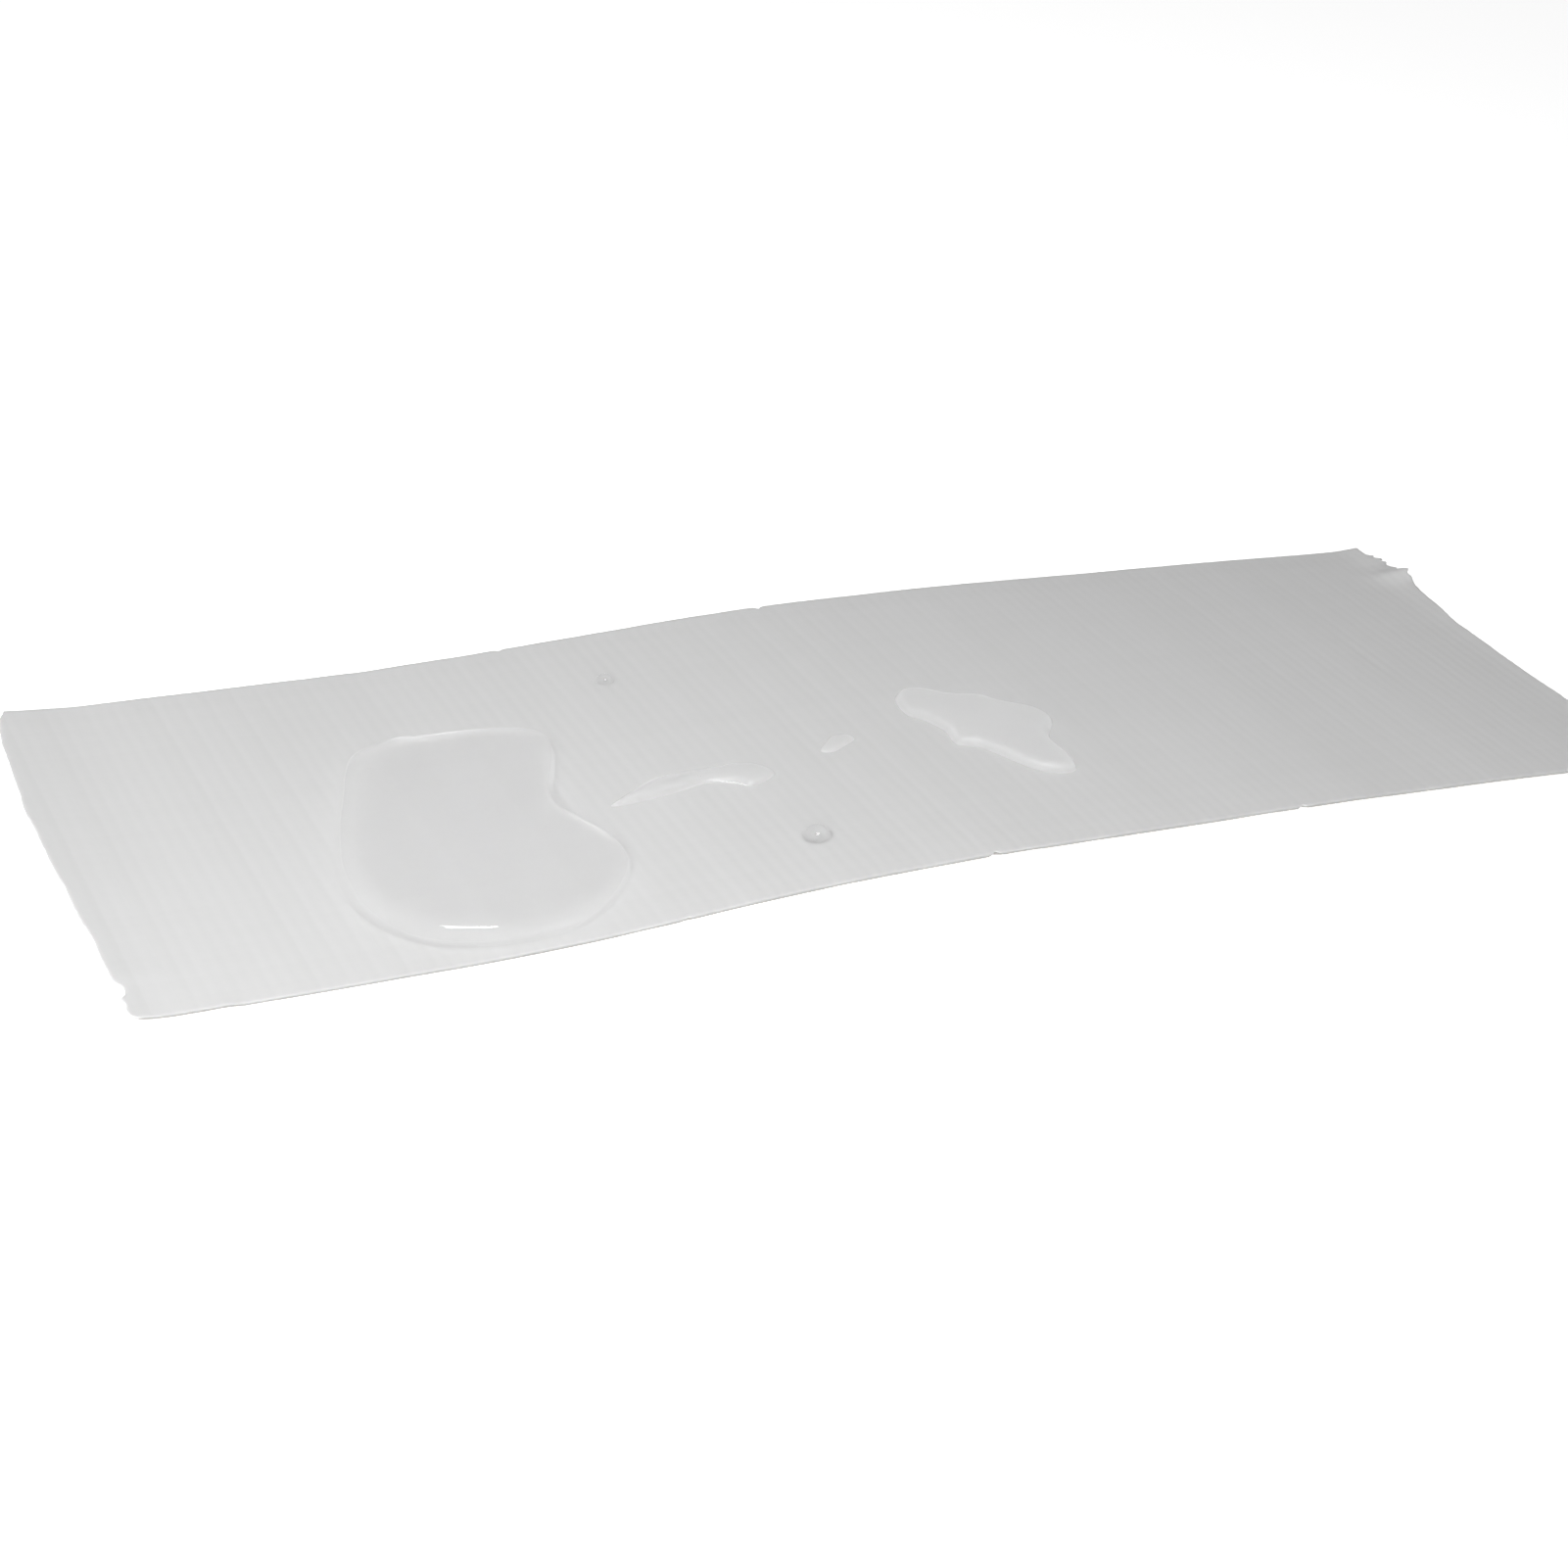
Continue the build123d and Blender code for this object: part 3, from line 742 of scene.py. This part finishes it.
def make_weft():
    """The yarns across the tape, which reach from slit edge to slit edge."""
    tubes = []
    dice = random.Random(4)
    for i in range(round(LENGTH / WEFT_PITCH) + 1):
        s = (i + 0.5) * WEFT_PITCH
        y = np.linspace(NEAR + 0.3 * MM, FAR - 0.3 * MM, 45)
        y = y[(left_tear(y) < s - 0.45 * MM) & (right_tear(y) > s + 0.45 * MM)]
        if len(y) < 5:
            continue
        drift = 0.02 * MM * np.array([dice.uniform(-1, 1) for _ in y])
        path = np.stack([s + drift, y, np.full(len(y), WEFT_MIDDLE)], axis=1)
        tubes.append(tube(path, 8, 0.3 * MM, 0.03 * MM, 0.8))
    piece = bundle("weft_threads", tubes, YARN)
    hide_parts("weft_yarns")
    return piece


def warp_lines():
    """Where the yarns along the tape lie."""
    count = int((2 * HALF_WIDTH - 0.35 * MM) // WARP_PITCH) + 1
    return [(i - (count - 1) / 2) * WARP_PITCH for i in range(count)]


def make_warp():
    """The yarns along the tape, which fray a little past the film at each tear."""
    tubes = []
    dice = random.Random(9)
    for y in warp_lines():
        start = float(left_tear(np.array(y))) - dice.uniform(-0.1, 0.12) * MM
        end = float(right_tear(np.array(y))) + dice.uniform(-0.1, 0.12) * MM
        s = np.concatenate([np.linspace(start, start + 1.2 * MM, 4),
                            np.linspace(start + 4 * MM, end - 4 * MM, 46),
                            np.linspace(end - 1.2 * MM, end, 4)])
        path = np.stack([s, np.full(len(s), y), np.full(len(s), WARP_MIDDLE)], axis=1)
        tubes.append(tube(path, 8, 0.17 * MM, 0.024 * MM, 0.5))
    piece = bundle("warp_threads", tubes, YARN)
    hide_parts("warp_yarns")
    return piece


def make_fibres():
    """The broken fibres that stand out of the torn warp yarns."""
    tubes = []
    dice = random.Random(17)
    for y in warp_lines():
        for way, tear in ((-1, left_tear), (1, right_tear)):
            for _ in range(dice.randint(2, 5)):
                at_y = y + dice.uniform(-0.16, 0.16) * MM
                root = float(tear(np.array(at_y)))
                length = dice.uniform(0.12, 0.4) * MM
                bend = dice.uniform(-0.5, 0.5)
                rise = dice.uniform(-0.12, 0.35) * length
                t = np.linspace(0, 1, 6)
                path = np.stack([root + way * (t * length - 0.25 * MM), at_y + bend * length * t**2,
                                 WARP_MIDDLE + 0.05 * MM + rise * t**1.5], axis=1)
                tubes.append(tube(path, 4, 0.009 * MM, 0.009 * MM, 0.4))
    return bundle("frayed_fibres", tubes, YARN)


# ---- The water ----
WATER_FOOT = FILM_CROWN - RIB_RELIEF - 0.025 * MM


def standing_water(name, node_name, outline, depth, rim, material, centre=None, around=200, rings=26):
    """Water on the film, which rounds off to its outline. It stands to this depth over the film, or where
    depth is None its top is dead level, as high as the node's."""
    line = closed_curve([(s * MM, NEAR + y * MM) for s, y in outline], around)
    middle = np.mean(line, axis=0) if centre is None else np.array([centre[0] * MM, NEAR + centre[1] * MM])
    shrink = 1 - (np.arange(rings) / rings) ** 1.7
    grid = np.concatenate([middle + (line - middle) * k for k in shrink] + [middle[None, :]])
    away = depth_inside(line, grid)
    away[:around] = 0
    rounded = 1 - np.exp(-away / rim)
    foot = place(grid[:, 0], grid[:, 1], WATER_FOOT)
    if depth is None:
        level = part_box(node_name)[1].z
        surface = foot + (rounded * (level - foot[:, 2]))[:, None] * np.array([0, 0, 1])
    else:
        surface = place(grid[:, 0], grid[:, 1], WATER_FOOT + depth * rounded)
    count = len(grid)
    inner = np.concatenate([np.arange(around), count + np.arange(around, count) - around])
    points = np.concatenate([surface, foot[around:]])
    faces = []
    for ring in range(rings - 1):
        for j in range(around):
            k = (j + 1) % around
            a, b = ring * around, (ring + 1) * around
            faces.append((a + j, a + k, b + k, b + j))
            faces.append(tuple(int(inner[i]) for i in (a + j, b + j, b + k, a + k)))
    last = (rings - 1) * around
    for j in range(around):
        k = (j + 1) % around
        faces.append((last + j, last + k, count - 1))
        faces.append(tuple(int(inner[i]) for i in (last + k, last + j, count - 1)))
    piece = mesh_piece(name, points, faces, material)
    face_outwards(piece)
    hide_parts(node_name)
    return piece


def face_outwards(piece):
    """Turns every face of a closed piece outwards."""
    deselect_all()
    bpy.context.view_layer.objects.active = piece
    piece.select_set(True)
    bpy.ops.object.mode_set(mode="EDIT")
    bpy.ops.mesh.select_all(action="SELECT")
    bpy.ops.mesh.normals_make_consistent(inside=False)
    bpy.ops.object.mode_set(mode="OBJECT")
    piece.select_set(False)


def bead(name, node_name, s, from_near, across_bead, high):
    """A round bead: the cap of a ball, as wide and as high as given, seated on the film."""
    radius = ((across_bead / 2) ** 2 + high**2) / (2 * high) * MM
    deselect_all()
    bpy.ops.mesh.primitive_uv_sphere_add(segments=64, ring_count=48, radius=radius)
    piece = bpy.context.active_object
    piece.name = piece.data.name = name
    bpy.ops.object.mode_set(mode="EDIT")
    bpy.ops.mesh.select_all(action="SELECT")
    bpy.ops.mesh.bisect(plane_co=(0, 0, radius - high * MM), plane_no=(0, 0, 1), clear_inner=True,
                        use_fill=True, threshold=1e-9)
    bpy.ops.object.mode_set(mode="OBJECT")
    s, y = s * MM, NEAR + from_near * MM
    root, ahead, beside = (Vector(place(a, b, WATER_FOOT)) for a, b in ((s, y), (s + MM, y), (s, y + MM)))
    along, over = (ahead - root).normalized(), (ahead - root).cross(beside - root).normalized()
    seat = Matrix.Translation(root) @ Matrix((along, over.cross(along), over)).transposed().to_4x4()
    piece.data.transform(seat @ Matrix.Translation((0, 0, high * MM - radius)))
    piece.data.materials.append(BEAD_WATER)
    piece.data.shade_smooth()
    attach(piece, "root")
    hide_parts(node_name)
    return piece


# ---- The floor, the light and the camera ----
def make_floor():
    """A plain pale floor."""
    deselect_all()
    bpy.ops.mesh.primitive_plane_add(size=4.0)
    floor = bpy.context.active_object
    floor.name = "floor"
    material, tree, shader = new_material("pale_floor", Roughness=0.9, Specular_IOR_Level=0.1)
    coordinates = node(tree, "ShaderNodeTexCoord").outputs["Object"]
    patches = use(tree, MOTTLE, Vector=coordinates, Scale=9.0, Contrast=1.0)
    tree.links.new(ramp(tree, patches.outputs["Mask"], (0.93, 0.93, 0.93), (0.95, 0.95, 0.95)),
                   shader.inputs["Base Color"])
    shader.inputs["Emission Color"].default_value = (1, 1, 1, 1)
    shader.inputs["Emission Strength"].default_value = 0.6
    floor.data.materials.append(material)


def area_light(name, at, towards, size, energy):
    """A soft white rectangular light."""
    light = bpy.data.lights.new(name, "AREA")
    light.shape = "RECTANGLE"
    light.size, light.size_y = size
    light.energy = energy
    made = bpy.data.objects.new(name, light)
    bpy.context.scene.collection.objects.link(made)
    made.location = at
    made.rotation_mode = "QUATERNION"
    made.rotation_quaternion = (Vector(towards) - Vector(at)).to_track_quat("-Z", "Y")
    return made


def make_light():
    """A big soft key light from the front left, in two halves of which one is hidden from the water's
    refraction, a light overhead that only shows as a reflection, and a pale surround."""
    towards, key_size = (-0.03, 0, 0), (0.30, 0.24)
    key = area_light("key", (-0.22, -0.21, 0.23), towards, key_size, 0.95)
    key_through_water = area_light("key_through_water", (-0.226, -0.216, 0.237), towards, key_size, 0.83)
    overhead = area_light("overhead", (-0.065, -0.16, 0.475), (-0.045, -0.02, 0), (0.2, 0.2), 2.4)
    key.visible_glossy = key_through_water.visible_glossy = False
    key.visible_transmission = overhead.visible_transmission = False
    overhead.visible_diffuse = False
    world = bpy.data.worlds.new("surround")
    bpy.context.scene.world = world
    world.use_nodes = True
    world.node_tree.nodes["Background"].inputs["Color"].default_value = (1.0, 1.0, 1.0, 1)
    world.node_tree.nodes["Background"].inputs["Strength"].default_value = 0.27


CAMERA_AT = Vector((-122.1, -200.4, 124.3)) * MM
CAMERA_AZIMUTH, CAMERA_DIP, CAMERA_ROLL = 29.62, 28.93, 6.89
CAMERA_LENS = 65.18


def make_camera():
    """The camera, which looks down along the strip from its near left, tilted a little."""
    azimuth, dip, roll = (math.radians(v) for v in (CAMERA_AZIMUTH, CAMERA_DIP, CAMERA_ROLL))
    look = Vector((math.sin(azimuth) * math.cos(dip), math.cos(azimuth) * math.cos(dip), -math.sin(dip)))
    level = Vector((math.cos(azimuth), -math.sin(azimuth), 0))
    right = level * math.cos(roll) + level.cross(look) * math.sin(roll)
    up = right.cross(look)
    data = bpy.data.cameras.new("camera")
    data.lens = CAMERA_LENS
    data.clip_start = 0.01
    camera = bpy.data.objects.new("camera", data)
    bpy.context.scene.collection.objects.link(camera)
    turn = Matrix((right, up, -look)).transposed()
    camera.matrix_world = Matrix.Translation(CAMERA_AT) @ turn.to_4x4()
    bpy.context.scene.camera = camera


make_camera()
film = make_film()
adhesive = make_adhesive()
weft = make_weft()
make_warp()
make_fibres()
standing_water("pool_water", "water_pool", POOL, None, 0.34 * MM, POOL_WATER,
               centre=(34.5, 18.0), around=260, rings=34)
standing_water("patch_water", "water_patch", PATCH, 0.9 * MM, 0.32 * MM, THIN_WATER, centre=(87.2, 20.6))
standing_water("trail_water", "water_trail", TRAIL, 0.55 * MM, 0.42 * MM, THIN_WATER, centre=(56.8, 20.4))
standing_water("fleck_water", "water_fleck", FLECK, 0.4 * MM, 0.35 * MM, THIN_WATER, around=80, rings=16)
bead("front_bead", "water_bead_front", *BEAD_FRONT)
bead("back_bead", "water_bead_back", *BEAD_BACK)
make_floor()
make_light()
bpy.context.scene.view_settings.view_transform = "Standard"
